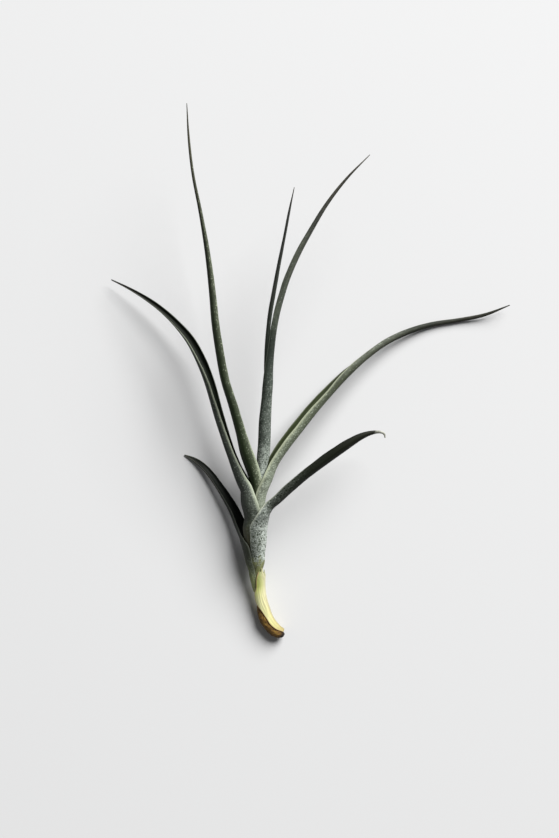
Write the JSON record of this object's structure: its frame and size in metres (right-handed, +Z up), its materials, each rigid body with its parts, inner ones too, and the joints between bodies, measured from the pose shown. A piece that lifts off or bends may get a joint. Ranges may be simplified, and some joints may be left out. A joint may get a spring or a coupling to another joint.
{
  "type": "air plant",
  "caption": "Air plant lying as picked: slender channelled silvery-green leaves in two ranks, sheaths nested round a short stem with a pale hooked foot.",
  "frame": {"origin": "middle of the plant's footprint on the table, under its box", "axes": "+Y from the hooked foot towards the leaf tips, +Z up from the table, +X to the right of the plant seen from above"},
  "size_m": [0.1872, 0.2454, 0.041],
  "materials": {
    "leaf": "matte",
    "dry_sheath": "satin",
    "rootstock": "matte"
  },
  "bodies": {
    "root": {"stem": "rootstock", "old_sheath": "dry_sheath", "leaf_1_short_left": "leaf", "leaf_2_short_right": "leaf", "leaf_3_long_left": "leaf", "leaf_4_long_right": "leaf", "leaf_5_tall_left": "leaf", "leaf_6_tall_right": "leaf", "leaf_7_centre": "leaf"}
  },
  "joints": []
}
